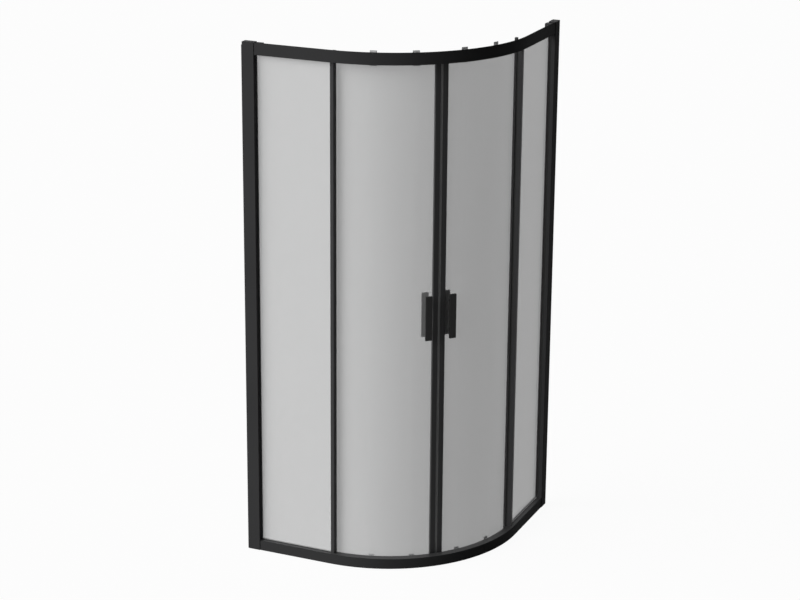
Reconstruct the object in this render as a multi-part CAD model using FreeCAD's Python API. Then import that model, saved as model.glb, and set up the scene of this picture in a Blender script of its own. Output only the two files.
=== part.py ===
import FreeCAD, Part
import math
import os

# Quadrant shower cabin for a room corner: two flat glass side panels stand in aluminium
# posts on the two walls, a curved rail joins them at the top and at the bottom, and two
# curved glass doors hang from rollers between them and part in the middle.
# The walls are at low X and at high Y, +Z is up, and the origin is the centre of the box
# round the whole cabin, on the floor. The cabin is alike about its diagonal, so each
# right-hand piece is the mirror image of the left-hand one.

# Overall sizes
cabin_side = 900.0
cabin_height = 2000.0
arc_radius = 550.0
quarter_turn = 90.0
seam_angle = 45.0

# Glass and its rubber
glass_thickness = 6.0
gasket_thickness = 2.0
gasket_lip = 1.0
gasket_foot = 1.0
glass_bite = 12.0
slot_fit = 0.3
edge_match = 0.01

# Wall posts and the wall profiles inside them
post_proud = 2.0
post_reach = 51.0
post_wall = 1.6
post_wall_gap = 3.0
post_edge_round = 1.2
pocket_wall = 1.2
wall_profile_web = 2.0
wall_profile_wall = 1.6
wall_profile_reach = 28.0
wall_profile_drop = 12.0
wall_hole_radius = 3.25
wall_hole_height_shares = (0.1, 0.35, 0.65, 0.9)
cap_thickness = 3.0
cap_plug_depth = 8.0
cap_plug_length = 12.0
cap_plug_start = 2.0
adjuster_height_shares = (0.125, 0.5, 0.875)
adjuster_radius = 2.0
adjuster_hole_clearance = 0.25
adjuster_head_radius = 4.0
adjuster_head_height = 2.2
adjuster_tail = 1.5

# Top rail
rail_wall = 2.0
top_rail_height = 46.0
track_drop = 30.0
track_thickness = 2.5
track_lip = 3.0
glazing_set_back = 13.5

# Bottom rail
bottom_rail_height = 40.0
sill_thickness = 2.0
ledge_thickness = 2.0
ledge_lip_wall = 2.0
ledge_lip_height = 10.0

# Blocks and screws that hold the rail ends to the posts
block_length = 25.0
block_overhang = 3.0
block_top_room = 4.0
block_fit = 0.1
rail_screw_radius = 2.0
rail_screw_clearance = 0.2
rail_screw_grip = 0.05
rail_screw_head_radius = 3.4
rail_screw_head_height = 2.5
rail_screw_length = 18.0
rail_screw_height_shares = (0.28, 0.72)

# Rubber stops on the top track
stop_place_share = 0.4
stop_length = 20.0
stop_height = 10.0
stop_edge_room = 3.0

# Bars on the free edges of the fixed glass
edge_bar_width = 14.0
edge_bar_front_wall = 6.0
edge_bar_back_wall = 4.0
edge_bar_bite = 9.0
edge_bar_round = 1.0

# Doors: glass, edge profiles and seals
door_gap = 9.5
door_glass_cover = 8.0
bar_bite = 9.0
bar_glass_fit = 0.5
trailing_start = -4.0
trailing_width = 13.0
trailing_front_wall = 2.0
trailing_back_wall = 2.0
trailing_top_drop = 9.0
trailing_seal_place = 7.0
trailing_seal_width = 3.0
trailing_seal_gap = 1.2
trailing_foot_gap = 1.5
closing_width = 20.0
closing_front_wall = 4.0
closing_back_wall = 4.0
closing_round = 1.0
magnet_thickness = 4.2
magnet_gap = 0.3
magnet_width = 10.0
magnet_root_depth = 3.0
magnet_root_width = 5.0
magnet_fit = 0.1

# Handles, one bar each side of the glass on two round spacers
handle_height = 172.0
handle_width = 26.0
handle_thickness = 10.0
handle_stand_off = 17.0
handle_round = 1.5
handle_gap = 8.2
handle_centre_share = 0.498
handle_seat = 0.05
handle_spacer_radius = 6.0
handle_screw_pitch = 110.0
handle_screw_radius = 2.5
handle_screw_clearance = 0.2
handle_screw_grip = 0.05
handle_screw_tail = 7.0
handle_screw_head_radius = 4.5
handle_screw_head_height = 2.8
glass_hole_radius = 4.0
bush_fit = 0.1

# Rollers above and guide rollers below, two of each on a door
roller_angles = (16.8, 34.3)
running_gap = 0.3
wheel_front_gap = 11.0
wheel_radius = 11.0
wheel_width = 7.0
wheel_round = 1.0
wheel_dish = 1.5
wheel_rim = 3.0
wheel_hub = 2.2
wheel_web_holes = 5
wheel_web_hole_radius = 1.1
axle_radius = 2.5
axle_fit = 0.05
axle_shoulder = 1.5
axle_head = 1.5
plate_thickness = 3.0
plate_seat = 0.3
plate_round = 2.0
hanger_width = 26.0
hanger_above_axle = 17.0
hanger_below_bolt = 10.0
hanger_bolt_pitch = 14.0
bolt_edge_distance = 10.0
guide_wheel_radius = 9.0
guide_wheel_width = 6.0
guide_axle_radius = 2.0
guide_width = 20.0
guide_top_drop = 1.0
guide_below_axle = 6.0
guide_glass_lift = 5.2
bolt_radius = 2.5
bolt_head_radius = 5.5
bolt_head_height = 1.5
nut_radius = 4.6
nut_height = 3.5
nut_fit = 0.05
nut_sides = 6

# Places worked out from the sizes above. An inset is a distance inwards from the rail's face.
half_side = (cabin_side + post_proud) / 2
face_y = post_proud - half_side
centre_x = -face_y - arc_radius
centre_y = face_y + arc_radius
tangent_run = cabin_side - arc_radius
fixed_inset = rail_wall + glazing_set_back + gasket_thickness
fixed_back = fixed_inset + glass_thickness
gasket_front = fixed_inset - gasket_thickness
gasket_back = fixed_back + gasket_thickness
frame_back = gasket_back + pocket_wall
track_reach = frame_back + track_lip
door_inset = track_reach + door_gap
door_back = door_inset + glass_thickness
door_outer = arc_radius - door_inset
door_inner = arc_radius - door_back
door_middle = (door_outer + door_inner) / 2
post_top = cabin_height - cap_thickness
track_top = cabin_height - track_drop
track_under = track_top - track_thickness
top_rail_under = cabin_height - top_rail_height
ledge_under = bottom_rail_height - ledge_thickness - ledge_lip_height
pane_low = bottom_rail_height + gasket_thickness
pane_high = track_under - gasket_thickness
wheel_inset = rail_wall + wheel_front_gap
axle_z = track_top + running_gap + wheel_radius
guide_axle_z = sill_thickness + running_gap + guide_wheel_radius
guide_shoulder_radius = guide_axle_radius + axle_shoulder
door_low = guide_axle_z + guide_shoulder_radius + guide_glass_lift
door_high = top_rail_under + door_glass_cover
hanger_bolt_z = door_high - bolt_edge_distance
guide_bolt_z = door_low + bolt_edge_distance
seam_back = magnet_gap + magnet_thickness + closing_width
handle_angle = seam_angle - math.degrees((seam_back + handle_gap + handle_width / 2) / door_middle)
handle_z = cabin_height * handle_centre_share
up = FreeCAD.Vector(0, 0, 1)
outward = FreeCAD.Vector(0, -1, 0)
from_wall = FreeCAD.Vector(1, 0, 0)


def panel_box(run_a, run_b, inset_a, inset_b, low, high):
    """A block in the left side panel, by its run from the wall and its inset."""
    corner = FreeCAD.Vector(run_a - half_side, face_y + inset_a, low)
    return Part.makeBox(run_b - run_a, inset_b - inset_a, high - low, corner)


def panel_pin(run, inset, z, radius, length, direction):
    """A round pin in the left side panel."""
    foot = FreeCAD.Vector(run - half_side, face_y + inset, z)
    return Part.makeCylinder(radius, length, foot, direction)


def swing(shape, angle):
    """Turns a shape made at the left tangent point round the arc of the rails."""
    turned = shape.copy()
    turned.rotate(FreeCAD.Vector(centre_x, centre_y, 0), up, angle)
    return turned


def arc_box(angle, side_a, side_b, radius_a, radius_b, low, high):
    """A block on the arc, by its sideways reach and its distances from the arc's centre."""
    corner = FreeCAD.Vector(centre_x + side_a, centre_y - radius_b, low)
    return swing(Part.makeBox(side_b - side_a, radius_b - radius_a, high - low, corner), angle)


def arc_pin(angle, side, z, radius_a, radius_b, pin_radius):
    """A round pin that points outwards from the arc's centre."""
    foot = FreeCAD.Vector(centre_x + side, centre_y - radius_a, z)
    return swing(Part.makeCylinder(pin_radius, radius_b - radius_a, foot, outward), angle)


def rail_band(inset_a, inset_b, low, high):
    """A strip that follows the rails from post to post, between two insets and two heights."""
    edges = []
    ends = []
    for inset in (inset_a, inset_b):
        radius = arc_radius - inset
        start = FreeCAD.Vector(post_reach - half_side, face_y + inset, low)
        first = FreeCAD.Vector(centre_x, centre_y - radius, low)
        last = FreeCAD.Vector(centre_x + radius, centre_y, low)
        finish = FreeCAD.Vector(-start.y, -start.x, low)
        turn = math.radians(seam_angle)
        middle = FreeCAD.Vector(centre_x + radius * math.sin(turn), centre_y - radius * math.cos(turn), low)
        edges.append(Part.makeLine(start, first))
        edges.append(Part.Arc(first, middle, last).toShape())
        edges.append(Part.makeLine(last, finish))
        ends.append((start, finish))
    for outer_end, inner_end in zip(*ends):
        edges.append(Part.makeLine(outer_end, inner_end))
    outline = Part.Wire(Part.__sortEdges__(edges))
    return Part.Face(outline).extrude(FreeCAD.Vector(0, 0, high - low))


def rounded_uprights(shape, radius):
    """Rounds the outermost upright edges of a straight bar."""
    box = shape.BoundBox
    corners = []
    for edge in shape.Edges:
        ends = [v.Point for v in edge.Vertexes]
        upright = len(ends) == 2 and abs(ends[0].x - ends[1].x) + abs(ends[0].y - ends[1].y) < edge_match
        on_x = upright and min(abs(ends[0].x - box.XMin), abs(ends[0].x - box.XMax)) < edge_match
        on_y = upright and min(abs(ends[0].y - box.YMin), abs(ends[0].y - box.YMax)) < edge_match
        if on_x and on_y:
            corners.append(edge)
    return shape.makeFillet(radius, corners)


def mirrored(shape):
    """The right-hand piece for a left-hand one, across the cabin's diagonal."""
    return shape.mirror(FreeCAD.Vector(0, 0, 0), FreeCAD.Vector(1, 1, 0))


def save(name, solids):
    """Writes one node."""
    shape = solids[0] if len(solids) == 1 else Part.Compound(solids)
    shape.exportStep("parts/" + name + ".step")


def save_pair(name, solids):
    """Writes a left-hand node and its mirror image."""
    save(name + "_left", solids)
    save(name + "_right", [mirrored(s) for s in solids])


def save_shared(name, solids):
    """Writes one node that holds like pieces of both sides."""
    save(name, solids + [mirrored(s) for s in solids])


def wall_profile():
    """Channel screwed to the wall, which the post slides over."""
    front = post_wall + slot_fit - post_proud
    back = frame_back - post_wall - slot_fit
    high = cabin_height - wall_profile_drop
    channel = panel_box(0, wall_profile_reach, front, back, 0, high)
    hollow = panel_box(
        wall_profile_web, wall_profile_reach, front + wall_profile_wall, back - wall_profile_wall, 0, high
    )
    channel = channel.cut(hollow)
    middle = (front + back) / 2
    for share in wall_hole_height_shares:
        z = cabin_height * share
        channel = channel.cut(panel_pin(0, middle, z, wall_hole_radius, wall_profile_web, from_wall))
    for share in adjuster_height_shares:
        channel = channel.cut(adjuster_hole(cabin_height * share))
    return channel


def adjuster_run():
    """How far from the wall the adjusting screws stand, halfway along the channel's flange."""
    return (wall_profile_web + wall_profile_reach) / 2


def adjuster_hole(z):
    """Hole through the post's inner wall and the flange behind it."""
    depth = post_wall + slot_fit + wall_profile_wall + adjuster_tail
    radius = adjuster_radius + adjuster_hole_clearance
    return panel_pin(adjuster_run(), frame_back, z, radius, depth, outward)


def adjuster_screw(z):
    """Pan-head screw that fixes the post to the wall profile from inside the cabin."""
    depth = post_wall + slot_fit + wall_profile_wall + adjuster_tail
    head_foot = frame_back + adjuster_head_height
    shank = panel_pin(adjuster_run(), head_foot, z, adjuster_radius, depth + adjuster_head_height, outward)
    head = panel_pin(adjuster_run(), head_foot, z, adjuster_head_radius, adjuster_head_height, outward)
    return shank.fuse(head).removeSplitter()


def rail_screw_inset():
    """Rail screws pass through the post in front of its glass pocket."""
    return (rail_wall + gasket_front - pocket_wall) / 2


def rail_screw_heights():
    """Heights of the rail screws in the bottom block and in the top block."""
    low, high = bottom_block_span()
    heights = [low + (high - low) * share for share in rail_screw_height_shares]
    low, high = top_block_span()
    return heights + [low + (high - low) * share for share in rail_screw_height_shares]


def bottom_block_span():
    """Height span of the block inside the bottom rail."""
    return sill_thickness, ledge_under - block_fit


def top_block_span():
    """Height span of the block on the top rail's track."""
    return track_top, cabin_height - block_top_room


def post():
    """Upright hollow profile, open to the wall, with a pocket for the fixed glass."""
    pocket_run = post_reach - glass_bite - gasket_thickness
    shell = panel_box(post_wall_gap, post_reach, -post_proud, frame_back, 0, post_top)
    shell = rounded_uprights(shell, post_edge_round)
    front = post_wall - post_proud
    back = frame_back - post_wall
    hollow = panel_box(post_wall_gap, post_reach - post_wall, front, back, 0, post_top)
    pocket = panel_box(
        pocket_run - pocket_wall, post_reach, gasket_front - pocket_wall, frame_back, 0, post_top
    )
    groove = panel_box(pocket_run, post_reach, gasket_front, gasket_back, 0, post_top)
    body = shell.cut(hollow).fuse(pocket).cut(groove).removeSplitter()
    for share in adjuster_height_shares:
        body = body.cut(adjuster_hole(cabin_height * share))
    radius = rail_screw_radius + rail_screw_clearance
    for z in rail_screw_heights():
        start = post_reach - post_wall
        body = body.cut(panel_pin(start, rail_screw_inset(), z, radius, post_wall, from_wall))
    return body


def post_cap():
    """Moulded cap that closes the post's top, with a plug into the hollow beside the glass pocket."""
    plate = panel_box(post_wall_gap, post_reach, -post_proud, frame_back, post_top, cabin_height)
    plate = rounded_uprights(plate, post_edge_round)
    plug_start = wall_profile_reach + cap_plug_start
    front = post_wall + slot_fit - post_proud
    back = gasket_front - pocket_wall - slot_fit
    plug_end = plug_start + cap_plug_length
    plug = panel_box(plug_start, plug_end, front, back, post_top - cap_plug_depth, post_top)
    return plate.fuse(plug).removeSplitter()


def rail_blocks():
    """Cast blocks in the rail ends, one in the bottom rail and one on the top track."""
    front = rail_wall + block_fit
    back = track_reach + block_overhang
    finish = post_reach + block_length
    blocks = []
    for low, high in (bottom_block_span(), top_block_span()):
        block = panel_box(post_reach, finish, front, back, low, high)
        for z in rail_screw_heights():
            if low < z < high:
                grip = rail_screw_radius + rail_screw_grip
                bore = panel_pin(post_reach, rail_screw_inset(), z, grip, rail_screw_length, from_wall)
                block = block.cut(bore)
        blocks.append(block)
    return blocks


def rail_screws():
    """Screws from inside the post into the rail blocks."""
    screws = []
    seat = post_reach - post_wall
    for z in rail_screw_heights():
        inset = rail_screw_inset()
        head_run = seat - rail_screw_head_height
        shank = panel_pin(seat, inset, z, rail_screw_radius, post_wall + rail_screw_length, from_wall)
        head = panel_pin(head_run, inset, z, rail_screw_head_radius, rail_screw_head_height, from_wall)
        screws.append(shank.fuse(head).removeSplitter())
    return screws


def door_stop():
    """Rubber block on the top track that ends a door's travel."""
    block_end = post_reach + block_length
    finish = block_end + (tangent_run - block_end) * stop_place_share
    back = track_reach - stop_edge_room
    high = track_top + stop_height
    return panel_box(finish - stop_length, finish, rail_wall + block_fit, back, track_top, high)


def fixed_pane():
    """Flat side glass, let into the post, the top rail and the edge bar."""
    start = post_reach - glass_bite
    finish = tangent_run + edge_bar_bite
    return panel_box(start, finish, fixed_inset, fixed_back, pane_low, pane_high)


def glazing_gasket():
    """Rubber channel round the three held edges of the side glass."""
    start = post_reach - glass_bite - gasket_thickness
    frame = panel_box(start, tangent_run, gasket_front, gasket_back, bottom_rail_height, track_under)
    window = panel_box(
        post_reach + gasket_lip,
        tangent_run,
        gasket_front,
        gasket_back,
        bottom_rail_height + gasket_foot,
        top_rail_under - gasket_lip,
    )
    return frame.cut(window).cut(fixed_pane())


def edge_bar():
    """Slotted bar on the free edge of the side glass."""
    front = fixed_inset - edge_bar_front_wall
    back = fixed_back + edge_bar_back_wall
    finish = tangent_run + edge_bar_width
    bar = panel_box(tangent_run, finish, front, back, bottom_rail_height, top_rail_under)
    bar = rounded_uprights(bar, edge_bar_round)
    slot = panel_box(
        tangent_run,
        tangent_run + edge_bar_bite + slot_fit,
        fixed_inset - slot_fit,
        fixed_back + slot_fit,
        bottom_rail_height,
        top_rail_under,
    )
    return bar.cut(slot)


def top_track():
    """Flat roller track with the fin below it that closes the glazing channel."""
    track = rail_band(rail_wall, track_reach, track_under, track_top)
    fin = rail_band(gasket_back, frame_back, top_rail_under, track_under)
    return track.fuse(fin).removeSplitter()


def bottom_ledge():
    """Top of the bottom rail, with the lip that hides the guide rollers."""
    lip_front = track_reach - ledge_lip_wall
    lip_high = bottom_rail_height - ledge_thickness
    ledge = rail_band(rail_wall, track_reach, lip_high, bottom_rail_height)
    lip = rail_band(lip_front, track_reach, ledge_under, lip_high)
    return ledge.fuse(lip).removeSplitter()


def door_glass():
    """Curved pane with holes for the handles, the hangers and the guides."""
    trailing_edge = trailing_start + trailing_width - bar_bite
    leading_edge = seam_back - bar_bite
    start = math.degrees(trailing_edge / door_middle)
    finish = seam_angle - math.degrees(leading_edge / door_middle)
    foot = FreeCAD.Vector(centre_x, centre_y, door_low)
    outer = Part.makeCylinder(door_outer, door_high - door_low, foot, up, finish - start)
    inner = Part.makeCylinder(door_inner, door_high - door_low, foot, up, finish - start)
    pane = outer.cut(inner)
    pane.rotate(FreeCAD.Vector(centre_x, centre_y, 0), up, start - quarter_turn)
    reach_in = door_inner - glass_thickness
    reach_out = door_outer + glass_thickness
    for angle, side, z in handle_screw_places() + bolt_places():
        pane = pane.cut(arc_pin(angle, side, z, reach_in, reach_out, glass_hole_radius))
    return pane


def glass_slot(back, high):
    """Slot for the edge of the curved glass, centred that far back along the glass from the bar."""
    half = bar_bite / 2 + bar_glass_fit
    inner = door_inner - bar_glass_fit
    outer = door_outer + bar_glass_fit
    return arc_box(-math.degrees(back / door_middle), -half, half, inner, outer, door_low, high)


def trailing_profile():
    """Upright profile on the glass edge behind the fixed edge bar."""
    outer = door_outer + trailing_front_wall
    inner = door_inner - trailing_back_wall
    high = cabin_height - trailing_top_drop
    finish = trailing_start + trailing_width
    bar = arc_box(0, trailing_start, finish, inner, outer, door_low, high)
    bar = rounded_uprights(bar, closing_round)
    return bar.cut(glass_slot(bar_bite / 2 - finish, door_high + bar_glass_fit))


def trailing_seal():
    """Soft fin that closes the gap to the fixed edge bar, and its shallower foot behind the ledge."""
    outer = arc_radius - fixed_back - edge_bar_back_wall - trailing_seal_gap
    inner = door_outer + trailing_front_wall
    start = trailing_start + trailing_seal_place
    finish = start + trailing_seal_width
    low = bottom_rail_height + running_gap
    high = top_rail_under - running_gap
    foot_outer = arc_radius - track_reach - trailing_foot_gap
    fin = arc_box(0, start, finish, inner, outer, low, high)
    foot = arc_box(0, start, finish, inner, foot_outer, door_low, low)
    return [fin, foot]


def closing_profile():
    """Upright profile on the glass edge where the two doors meet."""
    outer = door_outer + closing_front_wall
    inner = door_inner - closing_back_wall
    front = magnet_gap + magnet_thickness
    bar = arc_box(0, -seam_back, -front, inner, outer, door_low, door_high)
    bar = rounded_uprights(bar, closing_round)
    slot = glass_slot(seam_back - bar_bite / 2, door_high)
    root = arc_box(
        0,
        -front - magnet_root_depth - magnet_fit,
        -front,
        door_middle - magnet_root_width / 2 - magnet_fit,
        door_middle + magnet_root_width / 2 + magnet_fit,
        door_low,
        door_high,
    )
    return swing(bar.cut(slot).cut(root), seam_angle)


def magnetic_seal():
    """Magnet strip on the closing profile, keyed into its groove."""
    front = magnet_gap + magnet_thickness
    strip = arc_box(
        0,
        -front,
        -magnet_gap,
        door_middle - magnet_width / 2,
        door_middle + magnet_width / 2,
        door_low,
        door_high,
    )
    root = arc_box(
        0,
        -front - magnet_root_depth,
        -front,
        door_middle - magnet_root_width / 2,
        door_middle + magnet_root_width / 2,
        door_low,
        door_high,
    )
    return swing(strip.fuse(root).removeSplitter(), seam_angle)


def handle_screw_places():
    """Angle, sideways place and height of the screws through a door's handles."""
    half_pitch = handle_screw_pitch / 2
    return [(handle_angle, 0, handle_z - half_pitch), (handle_angle, 0, handle_z + half_pitch)]


def flat_seat(width):
    """Radius at which a flat piece of that width sits inside the curved glass."""
    return math.sqrt(door_inner**2 - (width / 2) ** 2) - handle_seat


def handle_bar(inner, outer):
    """Flat handle bar between two distances from the arc's centre, with softened edges."""
    half = handle_width / 2
    low = handle_z - handle_height / 2
    bar = arc_box(0, -half, half, inner, outer, low, low + handle_height)
    return swing(bar.makeFillet(handle_round, bar.Edges), handle_angle)


def handle_parts():
    """The two bars of one door with their spacers, screws and bushes."""
    outer_seat = door_outer + handle_seat
    outer_base = outer_seat + handle_stand_off
    inner_seat = flat_seat(2 * handle_spacer_radius)
    inner_base = inner_seat - handle_stand_off
    inner_face = inner_base - handle_thickness
    outer_bar = handle_bar(outer_base, outer_base + handle_thickness)
    inner_bar = handle_bar(inner_face, inner_base)
    spacers = []
    screws = []
    bushes = []
    loose = handle_screw_radius + handle_screw_clearance
    grip = handle_screw_radius + handle_screw_grip
    for angle, side, z in handle_screw_places():
        tip = outer_base + handle_screw_tail
        outer_bar = outer_bar.cut(arc_pin(angle, side, z, outer_base, tip, grip))
        inner_bar = inner_bar.cut(arc_pin(angle, side, z, inner_face, inner_base, loose))
        for low, high in ((outer_seat, outer_base), (inner_base, inner_seat)):
            spacer = arc_pin(angle, side, z, low, high, handle_spacer_radius)
            spacers.append(spacer.cut(arc_pin(angle, side, z, low, high, loose)))
        shank = arc_pin(angle, side, z, inner_face, tip, handle_screw_radius)
        head_end = inner_face - handle_screw_head_height
        head = arc_pin(angle, side, z, head_end, inner_face, handle_screw_head_radius)
        screws.append(shank.fuse(head).removeSplitter())
        bush = arc_pin(angle, side, z, door_inner, door_outer, glass_hole_radius - bush_fit)
        bushes.append(bush.cut(arc_pin(angle, side, z, door_inner, door_outer, loose)))
    return outer_bar, inner_bar, spacers, screws, bushes


def bolt_places():
    """Angle, sideways place and height of each bolt that clamps a roller plate to the glass."""
    places = []
    for angle in roller_angles:
        places.append((angle, -hanger_bolt_pitch / 2, hanger_bolt_z))
        places.append((angle, hanger_bolt_pitch / 2, hanger_bolt_z))
        places.append((angle, 0, guide_bolt_z))
    return places


def roller_plate(angle, width, low, high, pin_z, pin_radius):
    """Steel plate flat against the inside of the glass, with its bolt holes and axle hole."""
    seat = flat_seat(width)
    plate = arc_box(0, -width / 2, width / 2, seat - plate_thickness, seat, low, high)
    rounds = [e for e in plate.Edges if abs(e.BoundBox.YLength - plate_thickness) < edge_match]
    plate = swing(plate.makeFillet(plate_round, rounds), angle)
    for place_angle, side, z in bolt_places():
        if place_angle == angle and low < z < high:
            plate = plate.cut(arc_pin(angle, side, z, seat - plate_thickness, seat, bolt_radius + nut_fit))
    return plate.cut(arc_pin(angle, 0, pin_z, seat - plate_thickness, seat, pin_radius + nut_fit))


def roller_bolts():
    """Low-head bolts through the glass and the roller plates, each with its nut."""
    pieces = []
    for angle, side, z in bolt_places():
        width = hanger_width if z == hanger_bolt_z else guide_width
        seat = flat_seat(width) - plate_thickness
        head_foot = math.sqrt(door_outer**2 - side**2) + plate_seat
        head = arc_pin(angle, side, z, head_foot, head_foot + bolt_head_height, bolt_head_radius)
        shank = arc_pin(angle, side, z, seat - nut_height, head_foot, bolt_radius)
        pieces.append(shank.fuse(head).removeSplitter())
        nut = hex_nut(side, z, seat)
        pieces.append(swing(nut, angle))
    return pieces


def hex_nut(side, z, seat):
    """Hexagon nut at the left tangent point, against a plate's inner face."""
    corners = []
    for k in range(nut_sides + 1):
        turn = 2 * math.pi * k / nut_sides
        x = centre_x + side + nut_radius * math.cos(turn)
        corners.append(FreeCAD.Vector(x, centre_y - seat, z + nut_radius * math.sin(turn)))
    blank = Part.Face(Part.makePolygon(corners)).extrude(FreeCAD.Vector(0, nut_height, 0))
    return blank.cut(arc_pin(0, side, z, seat - nut_height, seat, bolt_radius + nut_fit))


def roller_axle(angle, z, journal, width, plate_width):
    """Turned axle: riveted tail in the plate, shoulder, journal for the wheel, and head."""
    seat = flat_seat(plate_width)
    shoulder = journal + axle_shoulder
    wheel_outer = arc_radius - wheel_inset
    shoulder_end = wheel_outer - width - running_gap
    journal_end = wheel_outer + running_gap
    tail = arc_pin(angle, 0, z, seat - plate_thickness, seat, journal)
    rivet = arc_pin(angle, 0, z, seat - plate_thickness - axle_head, seat - plate_thickness, shoulder)
    collar = arc_pin(angle, 0, z, seat, shoulder_end, shoulder)
    bearing = arc_pin(angle, 0, z, shoulder_end, journal_end, journal)
    head = arc_pin(angle, 0, z, journal_end, journal_end + axle_head, shoulder)
    return rivet.fuse([tail, collar, bearing, head]).removeSplitter()


def wheel(angle, z, radius, width, journal):
    """Moulded roller with a rounded tread, a dished web and a bored hub."""
    outer = arc_radius - wheel_inset
    inner = outer - width
    body = arc_pin(0, 0, z, inner, outer, radius)
    body = body.makeFillet(wheel_round, [e for e in body.Edges if e.Closed])
    hub = journal + axle_fit + wheel_hub
    for face_a, face_b in ((inner, inner + wheel_dish), (outer - wheel_dish, outer)):
        ring = arc_pin(0, 0, z, face_a, face_b, radius - wheel_rim)
        body = body.cut(ring.cut(arc_pin(0, 0, z, face_a, face_b, hub)))
    middle = (hub + radius - wheel_rim) / 2
    for k in range(wheel_web_holes):
        turn = 2 * math.pi * k / wheel_web_holes
        side = middle * math.cos(turn)
        body = body.cut(arc_pin(0, side, z + middle * math.sin(turn), inner, outer, wheel_web_hole_radius))
    body = body.cut(arc_pin(0, 0, z, inner, outer, journal + axle_fit))
    return swing(body, angle)


os.makedirs("parts", exist_ok=True)

# Fixed frame
save_pair("wall_profile", [wall_profile()])
save_pair("post", [post()])
save_pair("post_cap", [post_cap()])
save_shared("adjuster_screws", [adjuster_screw(cabin_height * share) for share in adjuster_height_shares])
save("top_rail_face", [rail_band(0, rail_wall, top_rail_under, cabin_height)])
save("top_rail_track", [top_track()])
save("bottom_rail_face", [rail_band(0, rail_wall, 0, bottom_rail_height)])
save("bottom_rail_ledge", [bottom_ledge()])
save("bottom_rail_sill", [rail_band(rail_wall, track_reach, 0, sill_thickness)])
save_shared("rail_blocks", rail_blocks())
save_shared("rail_screws", rail_screws())
save_shared("door_stops", [door_stop()])
save_pair("fixed_glass", [fixed_pane()])
save_pair("glazing_gasket", [glazing_gasket()])
save_pair("fixed_edge_bar", [edge_bar()])

# Doors
save_pair("door_glass", [door_glass()])
save_pair("door_trailing_profile", [trailing_profile()])
save_pair("door_trailing_seal", trailing_seal())
save_pair("door_closing_profile", [closing_profile()])
save_pair("door_magnetic_seal", [magnetic_seal()])
outer_bar, inner_bar, spacers, screws, bushes = handle_parts()
save_pair("handle_outer", [outer_bar])
save_pair("handle_inner", [inner_bar])
save_pair("handle_spacers", spacers)
save_pair("handle_screws", screws)
save_pair("handle_bushes", bushes)

# Roller gear on the doors
hanger_low = hanger_bolt_z - hanger_below_bolt
hanger_high = axle_z + hanger_above_axle
guide_low = guide_axle_z - guide_below_axle
guide_high = bottom_rail_height - guide_top_drop
hangers = []
guides = []
axles = []
for angle in roller_angles:
    hangers.append(roller_plate(angle, hanger_width, hanger_low, hanger_high, axle_z, axle_radius))
    guides.append(roller_plate(angle, guide_width, guide_low, guide_high, guide_axle_z, guide_axle_radius))
    axles.append(roller_axle(angle, axle_z, axle_radius, wheel_width, hanger_width))
    axles.append(roller_axle(angle, guide_axle_z, guide_axle_radius, guide_wheel_width, guide_width))
save_pair("roller_hangers", hangers)
save_pair("roller_guides", guides)
save_pair("roller_axles", axles)
save_pair("roller_bolts", roller_bolts())
for place, angle in zip(("rear", "front"), roller_angles):
    save_pair("top_wheel_" + place, [wheel(angle, axle_z, wheel_radius, wheel_width, axle_radius)])
    guide_wheel = wheel(angle, guide_axle_z, guide_wheel_radius, guide_wheel_width, guide_axle_radius)
    save_pair("guide_wheel_" + place, [guide_wheel])
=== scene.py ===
import math

import bmesh
import bpy
from mathutils import Matrix, Vector


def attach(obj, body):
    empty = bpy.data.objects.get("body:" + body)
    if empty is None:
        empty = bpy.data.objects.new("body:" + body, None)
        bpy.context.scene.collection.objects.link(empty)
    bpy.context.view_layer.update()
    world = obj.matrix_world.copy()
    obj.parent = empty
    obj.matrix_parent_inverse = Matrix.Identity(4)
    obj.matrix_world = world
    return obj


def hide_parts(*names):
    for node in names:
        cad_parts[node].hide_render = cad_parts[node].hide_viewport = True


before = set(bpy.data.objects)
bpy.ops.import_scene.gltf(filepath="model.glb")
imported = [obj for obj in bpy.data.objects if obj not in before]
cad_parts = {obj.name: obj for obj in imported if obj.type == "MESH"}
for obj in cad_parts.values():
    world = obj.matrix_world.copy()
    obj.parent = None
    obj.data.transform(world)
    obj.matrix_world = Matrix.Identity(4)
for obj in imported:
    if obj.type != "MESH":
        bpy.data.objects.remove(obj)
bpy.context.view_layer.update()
scene = bpy.context.scene


# Wall posts and the channels that they slide over.
# Extruded aluminium, powder-coated matt black after cutting, so every face has the same
# fine grain. The channels are screwed to the walls and the posts are set over them.


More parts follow.
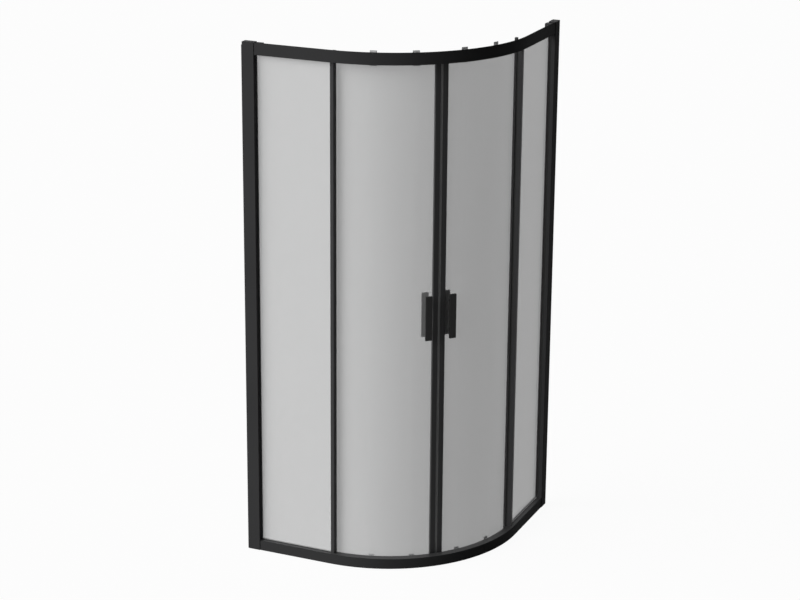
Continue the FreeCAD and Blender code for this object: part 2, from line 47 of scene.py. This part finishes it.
class Wire:
    """One output of a finish's node tree. Sums on it add Math nodes to the tree."""

    def __init__(self, tree, socket=None):
        self.tree = tree
        self.socket = socket

    def node(self, kind, settings=None, inputs=None, output=0):
        made = self.tree.nodes.new(kind)
        for name, value in (settings or {}).items():
            setattr(made, name, value)
        for name, value in (inputs or {}).items():
            if isinstance(value, Wire):
                self.tree.links.new(value.socket, made.inputs[name])
            else:
                made.inputs[name].default_value = value
        return Wire(self.tree, made.outputs[output] if made.outputs else None)

    def sum(self, operation, first, second):
        return self.node("ShaderNodeMath", {"operation": operation}, {0: first, 1: second})

    def __add__(self, other):
        return self.sum("ADD", self, other)

    def __radd__(self, other):
        return self.sum("ADD", other, self)

    def __sub__(self, other):
        return self.sum("SUBTRACT", self, other)

    def __rsub__(self, other):
        return self.sum("SUBTRACT", other, self)

    def __mul__(self, other):
        return self.sum("MULTIPLY", self, other)

    def __rmul__(self, other):
        return self.sum("MULTIPLY", other, self)

    def grain(self, scale, detail=2.0, stretch=(1.0, 1.0, 1.0)):
        """Noise from 0 to 1 on the piece's own coordinates, with `scale` grains to the metre."""
        place = self.node("ShaderNodeTexCoord", output="Object")
        place = self.node("ShaderNodeMapping", inputs={"Vector": place, "Scale": stretch})
        return self.node("ShaderNodeTexNoise", inputs={"Vector": place, "Scale": scale, "Detail": detail})

    def shade(self, amount, dark, pale):
        """A colour between dark and pale by the amount from 0 to 1."""
        first_colour, second_colour, mixed_colour = 6, 7, 2
        settings = {"data_type": "RGBA"}
        inputs = {"Factor": amount, first_colour: dark, second_colour: pale}
        return self.node("ShaderNodeMix", settings, inputs, output=mixed_colour)

    def relief(self, height, depth, strength=1.0):
        """A normal from the height, where a height of 1 stands `depth` metres proud."""
        inputs = {"Height": height, "Distance": depth, "Strength": strength}
        return self.node("ShaderNodeBump", inputs=inputs)


def finish_tree(name):
    material = bpy.data.materials.new(name)
    material.use_nodes = True
    material.node_tree.nodes.clear()
    return material, Wire(material.node_tree)


def coat(wire, inputs):
    """Ends a finish's tree in one surface with those inputs."""
    surface = wire.node("ShaderNodeBsdfPrincipled", inputs=inputs)
    wire.node("ShaderNodeOutputMaterial", inputs={"Surface": surface})


def dress(material, names):
    """Gives CAD nodes a finish."""
    for name in names:
        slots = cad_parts[name].data.materials
        slots.clear()
        slots.append(material)


def pair(*names):
    """The names of the left-hand and right-hand pieces."""
    return [f"{name}_{side}" for name in names for side in ("left", "right")]


powder_dark = (0.042, 0.042, 0.043, 1.0)
powder_pale = (0.054, 0.054, 0.055, 1.0)
powder_black, wire = finish_tree("matt_black_powder_coat")
cloud = wire.grain(4.0)
peel = wire.grain(420.0, detail=3.0)
coat(wire, {
    "Base Color": wire.shade(cloud, powder_dark, powder_pale),
    "Roughness": 0.6 + 0.12 * peel + 0.06 * cloud,
    "Specular IOR Level": 0.02,
    "Normal": wire.relief(peel, depth=0.00006, strength=0.6),
})
dress(powder_black, pair("wall_profile", "post"))


# Post caps.
# Injection-moulded black plastic plugs, pressed into the open tops of the posts.

moulded_black, wire = finish_tree("moulded_black_plastic")
cloud = wire.grain(9.0)
spark = wire.grain(900.0)
coat(wire, {
    "Base Color": wire.shade(cloud, dark=(0.03, 0.03, 0.031, 1.0), pale=(0.04, 0.04, 0.041, 1.0)),
    "Roughness": 0.56 + 0.14 * spark,
    "Specular IOR Level": 0.08,
    "Normal": wire.relief(spark, depth=0.00003, strength=0.5),
})
dress(moulded_black, pair("post_cap"))


# Adjusting screws and the screws of the rail ends.
# Turned stainless steel, driven from inside the cabin. The adjusting screws have rounded heads with
# six-sided sockets and go through the posts into the wall channels, the others go into the blocks.

turned_steel, wire = finish_tree("turned_stainless_steel")
lines = wire.grain(700.0, detail=3.0, stretch=(1.0, 1.0, 6.0))
coat(wire, {
    "Base Color": wire.shade(lines, dark=(0.48, 0.48, 0.49, 1.0), pale=(0.62, 0.62, 0.63, 1.0)),
    "Metallic": 1.0,
    "Roughness": 0.26 + 0.16 * lines,
    "Normal": wire.relief(lines, depth=0.00002, strength=0.4),
})
dress(turned_steel, ["rail_screws"])


def is_disc(face, radius):
    """True for a round face of about that radius."""
    corners_of_a_plain_face = 8
    least, most = 0.95 * radius, 1.05 * radius
    middle = face.calc_center_median()
    reach = [(corner.co - middle).length for corner in face.verts]
    return len(reach) > corners_of_a_plain_face and least < min(reach) and max(reach) < most


def cut_sockets(node_name, body, head_radius, rim_round, socket_radius, socket_depth):
    """Stands in for a node's screws: the same screws with rounded heads and sockets cut in them."""
    merge_reach = 0.000005
    flat_within = math.radians(0.5)
    rim_steps = 4
    socket_sides = 6
    screws = bmesh.new()
    screws.from_mesh(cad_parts[node_name].data)
    bmesh.ops.remove_doubles(screws, verts=screws.verts[:], dist=merge_reach)
    bmesh.ops.dissolve_limit(
        screws, angle_limit=flat_within, verts=screws.verts[:], edges=screws.edges[:])
    rims = [edge for face in screws.faces if is_disc(face, head_radius) for edge in face.edges]
    bmesh.ops.bevel(
        screws, geom=rims, offset=rim_round, segments=rim_steps, profile=0.5, affect="EDGES", material=-1)
    for top in [face for face in screws.faces if is_disc(face, head_radius - rim_round)]:
        rim = list(top.edges)
        middle = top.calc_center_median()
        facing = top.normal.copy()
        bmesh.ops.delete(screws, geom=[top], context="FACES_ONLY")
        place = Matrix.Translation(middle) @ facing.to_track_quat("Z", "Y").to_matrix().to_4x4()
        mouth = bmesh.ops.create_circle(
            screws, segments=socket_sides, radius=socket_radius, matrix=place)
        mouth_edges = list(dict.fromkeys(edge for corner in mouth["verts"] for edge in corner.link_edges))
        bmesh.ops.bridge_loops(screws, edges=rim + mouth_edges)
        walls = bmesh.ops.extrude_edge_only(screws, edges=mouth_edges)["geom"]
        foot = [part for part in walls if isinstance(part, bmesh.types.BMVert)]
        bmesh.ops.translate(screws, verts=foot, vec=-socket_depth * facing)
        bmesh.ops.contextual_create(screws, geom=foot)
    bmesh.ops.recalc_face_normals(screws, faces=screws.faces[:])
    mesh = bpy.data.meshes.new(f"socketed_{node_name}")
    screws.to_mesh(mesh)
    screws.free()
    mesh.materials.append(turned_steel)
    piece = bpy.data.objects.new(f"socketed_{node_name}", mesh)
    scene.collection.objects.link(piece)
    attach(piece, body)
    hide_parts(node_name)


cut_sockets(
    "adjuster_screws", "frame",
    head_radius=0.004, rim_round=0.0009, socket_radius=0.0017, socket_depth=0.0013)


# Top rail and bottom rail: outer faces, roller track, ledge and sill.
# Extruded aluminium, bent to the quarter circle with straight ends and powder-coated like the
# posts. The ledge is wiped often, so its coat is smoother and shines at a low angle.

dress(powder_black, ["top_rail_face", "top_rail_track", "bottom_rail_face", "bottom_rail_sill"])

wiped_black, wire = finish_tree("wiped_black_coat")
cloud = wire.grain(6.0)
peel = wire.grain(420.0, detail=3.0)
coat(wire, {
    "Base Color": wire.shade(cloud, powder_dark, powder_pale),
    "Roughness": 0.34 + 0.08 * peel + 0.08 * cloud,
    "Specular IOR Level": 0.4,
    "Normal": wire.relief(peel, depth=0.00004, strength=0.4),
})
dress(wiped_black, ["bottom_rail_ledge"])


# Blocks in the rail ends.
# Small aluminium castings that the rail screws pass through, powder-coated over the pits
# and grain of the casting.

coated_casting, wire = finish_tree("black_coated_casting")
pits = wire.grain(260.0, detail=4.0)
coat(wire, {
    "Base Color": wire.shade(pits, dark=(0.036, 0.036, 0.037, 1.0), pale=(0.05, 0.05, 0.051, 1.0)),
    "Roughness": 0.56 + 0.2 * pits,
    "Specular IOR Level": 0.1,
    "Normal": wire.relief(pits, depth=0.00012, strength=0.6),
})
dress(coated_casting, ["rail_blocks"])


# Fixed panes and door panes.
# Grey-tinted toughened safety glass, 6 mm thick, with ground edges. The door panes are bent
# to the quarter circle in the furnace. The tint varies very slightly through the melt.

grey_glass, wire = finish_tree("grey_toughened_glass")
melt = wire.grain(2.5, detail=1.0, stretch=(1.0, 1.0, 0.35))
slant = wire.node("ShaderNodeLayerWeight", inputs={"Blend": 0.5}, output="Facing")
shading = wire.node("ShaderNodeLightPath", output="Is Shadow Ray")
tint_held_back = 0.458 + 0.01 * melt + 0.09 * slant * slant
share_kept_in_shadows = 1.0 - 0.8 * shading
coat(wire, {
    "Base Color": wire.shade(melt, dark=(0.54, 0.543, 0.543, 1.0), pale=(0.58, 0.583, 0.583, 1.0)),
    "Roughness": 0.12 + 0.03 * melt,
    "IOR": 1.5,
    "Specular IOR Level": 0.2,
    "Alpha": tint_held_back * share_kept_in_shadows,
})
dress(grey_glass, pair("fixed_glass", "door_glass"))


# Glazing channels, door stops and the doors' soft fins.
# Extruded black rubber: the channels are pushed over the edges of the fixed panes and into
# the posts and rails, the stops are clipped to the track and the fins into the trailing profiles.

soft_black, wire = finish_tree("black_rubber")
cloud = wire.grain(15.0)
dust = wire.grain(600.0)
coat(wire, {
    "Base Color": wire.shade(cloud, dark=(0.03, 0.03, 0.03, 1.0), pale=(0.042, 0.042, 0.042, 1.0)),
    "Roughness": 0.68 + 0.16 * dust,
    "Specular IOR Level": 0.25,
    "Normal": wire.relief(dust, depth=0.00004, strength=0.4),
})
dress(soft_black, [*pair("glazing_gasket", "door_trailing_seal"), "door_stops"])


# Bars on the free edges of the fixed panes, and the upright profiles of the doors.
# Slim extrusions in a smoother, satin powder coat with faint die lines along their length,
# pushed over the glass edges and glued.

satin_powder, wire = finish_tree("satin_black_powder_coat")
cloud = wire.grain(4.0)
die_lines = wire.grain(260.0, stretch=(1.0, 1.0, 0.02))
coat(wire, {
    "Base Color": wire.shade(cloud, powder_dark, powder_pale),
    "Roughness": 0.44 + 0.1 * die_lines + 0.05 * cloud,
    "Specular IOR Level": 0.15,
    "Normal": wire.relief(die_lines, depth=0.00002, strength=0.3),
})
dress(satin_powder, pair("fixed_edge_bar", "door_trailing_profile", "door_closing_profile"))


# Magnetic seals between the doors.
# Soft grey plastic sleeves round a magnet strip, slid into the grooves of the closing profiles.

sleeve_grey, wire = finish_tree("soft_grey_sleeve")
cloud = wire.grain(12.0)
coat(wire, {
    "Base Color": wire.shade(cloud, dark=(0.18, 0.183, 0.183, 1.0), pale=(0.24, 0.243, 0.243, 1.0)),
    "Roughness": 0.42 + 0.1 * cloud,
    "Normal": wire.relief(wire.grain(500.0), depth=0.00003, strength=0.3),
})
dress(sleeve_grey, pair("door_magnetic_seal"))


# Handles.
# A black bar outside and inside each door, held off the glass by round spacers and drawn
# together by two screws that pass through plastic bushes in the glass.

satin_black, wire = finish_tree("satin_black_lacquer")
cloud = wire.grain(30.0)
peel = wire.grain(650.0)
coat(wire, {
    "Base Color": wire.shade(cloud, dark=(0.012, 0.012, 0.012, 1.0), pale=(0.018, 0.018, 0.018, 1.0)),
    "Roughness": 0.26 + 0.1 * peel + 0.05 * cloud,
    "Specular IOR Level": 0.16,
    "Normal": wire.relief(peel, depth=0.00003, strength=0.4),
})
dress(satin_black, pair("handle_outer", "handle_inner"))
dress(moulded_black, pair("handle_spacers", "handle_bushes"))
for side in ("left", "right"):
    cut_sockets(
        f"handle_screws_{side}", f"door_{side}",
        head_radius=0.0045, rim_round=0.0011, socket_radius=0.0019, socket_depth=0.0017)


# Rollers, guides and the plates that carry them.
# Moulded nylon wheels turn on steel axles. The plates are stamped from galvanised sheet steel
# and bolted flat to the inside of the door glass.

white_nylon, wire = finish_tree("moulded_white_nylon")
cloud = wire.grain(60.0)
coat(wire, {
    "Base Color": wire.shade(cloud, dark=(0.62, 0.62, 0.6, 1.0), pale=(0.7, 0.7, 0.68, 1.0)),
    "Roughness": 0.38 + 0.14 * cloud,
    "Normal": wire.relief(wire.grain(700.0), depth=0.00003, strength=0.3),
})
wheels = pair("top_wheel_rear", "top_wheel_front", "guide_wheel_rear", "guide_wheel_front")
dress(white_nylon, wheels)
dress(turned_steel, pair("roller_axles", "roller_bolts"))

galvanised, wire = finish_tree("galvanised_sheet_steel")
spangle = wire.grain(90.0, detail=3.0)
coat(wire, {
    "Base Color": wire.shade(spangle, dark=(0.7, 0.705, 0.71, 1.0), pale=(0.78, 0.785, 0.79, 1.0)),
    "Metallic": 0.1,
    "Roughness": 0.48 + 0.16 * spangle,
    "Normal": wire.relief(spangle, depth=0.00003, strength=0.3),
})
dress(galvanised, pair("roller_hangers", "roller_guides"))


# Studio floor, light and camera.
# A pale floor that runs on past the picture, one wide far lamp at the front left of the cabin
# and a long lens above head height, well in front of it.

floor_half_side = 30.0
sheet = bmesh.new()
bmesh.ops.create_grid(sheet, x_segments=1, y_segments=1, size=floor_half_side)
floor_mesh = bpy.data.meshes.new("studio_floor")
sheet.to_mesh(floor_mesh)
sheet.free()
floor = bpy.data.objects.new("studio_floor", floor_mesh)
scene.collection.objects.link(floor)


def seen_directly(wire):
    """1 for rays from the camera, also by way of glass or a mirror, and 0 for the lighting's rays."""
    first = wire.node("ShaderNodeLightPath", output="Is Camera Ray")
    mirrored = wire.node("ShaderNodeLightPath", output="Is Glossy Ray")
    passed = wire.node("ShaderNodeLightPath", output="Is Transmission Ray")
    return wire.sum("MAXIMUM", wire.sum("MAXIMUM", first, mirrored), passed)


pale_floor, wire = finish_tree("pale_studio_floor")
seen = seen_directly(wire)
floor_tone = wire.shade(seen, dark=(0.1, 0.1, 0.1, 1.0), pale=(0.92, 0.92, 0.92, 1.0))
matt = wire.node("ShaderNodeBsdfDiffuse", inputs={"Color": floor_tone})
glow = wire.node("ShaderNodeEmission", inputs={"Color": (1.0, 1.0, 1.0, 1.0), "Strength": 1.0})
glow_share = 0.95 * seen
shown = wire.node("ShaderNodeMixShader", inputs={0: glow_share, 1: matt, 2: glow})
wire.node("ShaderNodeOutputMaterial", inputs={"Surface": shown})
floor_mesh.materials.append(pale_floor)

scene.world = bpy.data.worlds.new("studio")
scene.world.use_nodes = True
scene.world.node_tree.nodes.clear()
wire = Wire(scene.world.node_tree)
room_light = 0.067
sky = wire.node("ShaderNodeBackground", inputs={
    "Color": (1.0, 1.0, 1.0, 1.0),
    "Strength": room_light + (1.0 - room_light) * seen_directly(wire),
})
wire.node("ShaderNodeOutputWorld", inputs={"Surface": sky})

key_light = bpy.data.lights.new("key_light", "SUN")
key_light.energy = 3.45
key_light.angle = math.radians(55.0)
key_holder = bpy.data.objects.new("key_light", key_light)
key_from = Vector((-0.657, -0.613, 0.438))
key_holder.rotation_euler = key_from.to_track_quat("Z", "Y").to_euler()
scene.collection.objects.link(key_holder)

camera_data = bpy.data.cameras.new("camera")
camera_data.sensor_width = 36.0
camera_data.lens = 99.3
camera_data.clip_end = 100.0
camera = bpy.data.objects.new("camera", camera_data)
camera_place = Vector((3.2418, -7.441, 3.579))
camera_turn = math.radians(23.612)
camera_tilt = math.radians(90.0 - 17.979)
camera_roll = math.radians(0.455)
camera.matrix_world = (
    Matrix.Translation(camera_place)
    @ Matrix.Rotation(camera_turn, 4, "Z")
    @ Matrix.Rotation(camera_tilt, 4, "X")
    @ Matrix.Rotation(camera_roll, 4, "Z")
)
scene.collection.objects.link(camera)
scene.camera = camera
scene.view_settings.view_transform = "Standard"
